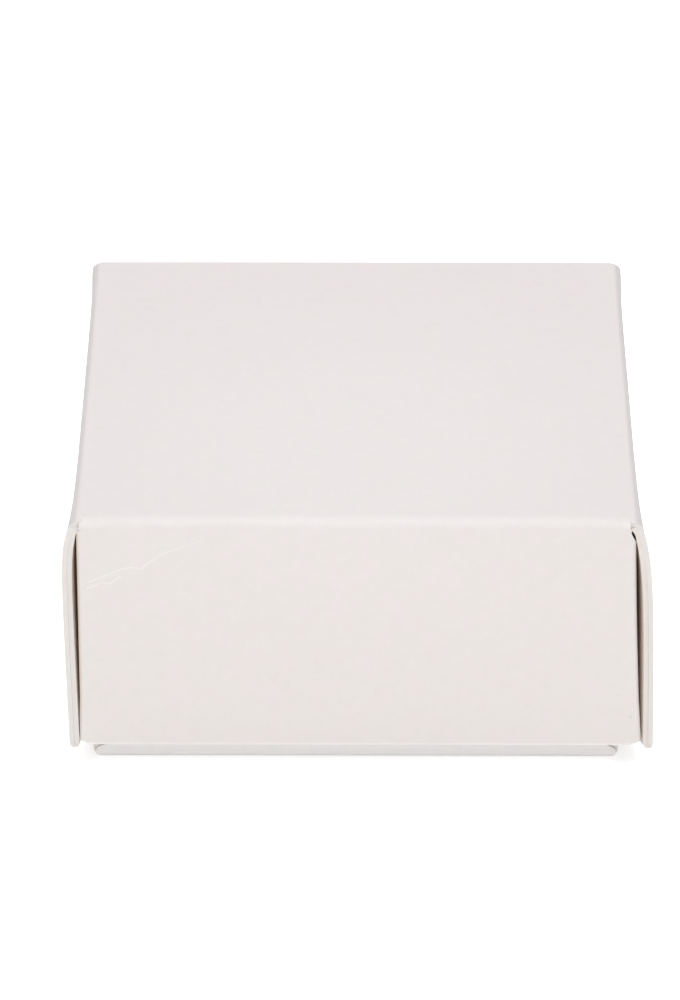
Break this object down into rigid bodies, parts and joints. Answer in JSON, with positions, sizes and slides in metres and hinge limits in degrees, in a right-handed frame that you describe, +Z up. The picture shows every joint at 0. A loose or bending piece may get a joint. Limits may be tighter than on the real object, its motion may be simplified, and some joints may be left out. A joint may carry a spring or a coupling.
{
  "type": "gift box with lid",
  "caption": "Small square keepsake box of folded white board: an open base with double walls and a deep lift-off lid that covers it almost to the table.",
  "frame": {"origin": "centre of the base's underside, on the surface that the box stands on", "axes": "+Z up through the lid, the way it lifts off; -Y towards the front wall; +X along the front wall, to the right, across the two sprung side walls"},
  "size_m": [0.0581, 0.055, 0.0283],
  "materials": {
    "lid_board": "uncoated matt white board",
    "base_board": "uncoated matt white board"
  },
  "bodies": {
    "base": {"base_floor_panel": "base_board", "base_front_wall": "base_board", "base_rear_wall": "base_board", "base_left_wall": "base_board", "base_right_wall": "base_board", "base_front_lining": "base_board", "base_rear_lining": "base_board", "base_left_lining": "base_board", "base_right_lining": "base_board", "base_front_left_ear": "base_board", "base_front_right_ear": "base_board", "base_rear_left_ear": "base_board", "base_rear_right_ear": "base_board"},
    "lid": {"lid_top_panel": "lid_board", "lid_front_wall": "lid_board", "lid_rear_wall": "lid_board", "lid_left_wall": "lid_board", "lid_right_wall": "lid_board", "lid_front_lining": "lid_board", "lid_rear_lining": "lid_board", "lid_left_lining": "lid_board", "lid_right_lining": "lid_board", "lid_front_left_ear": "lid_board", "lid_front_right_ear": "lid_board", "lid_rear_left_ear": "lid_board", "lid_rear_right_ear": "lid_board"}
  },
  "joints": [
    {"name": "lid_lift", "type": "slide", "parent": "base", "child": "lid", "axis": [0, 0, 1], "range_m": [0, 0.04]}
  ]
}
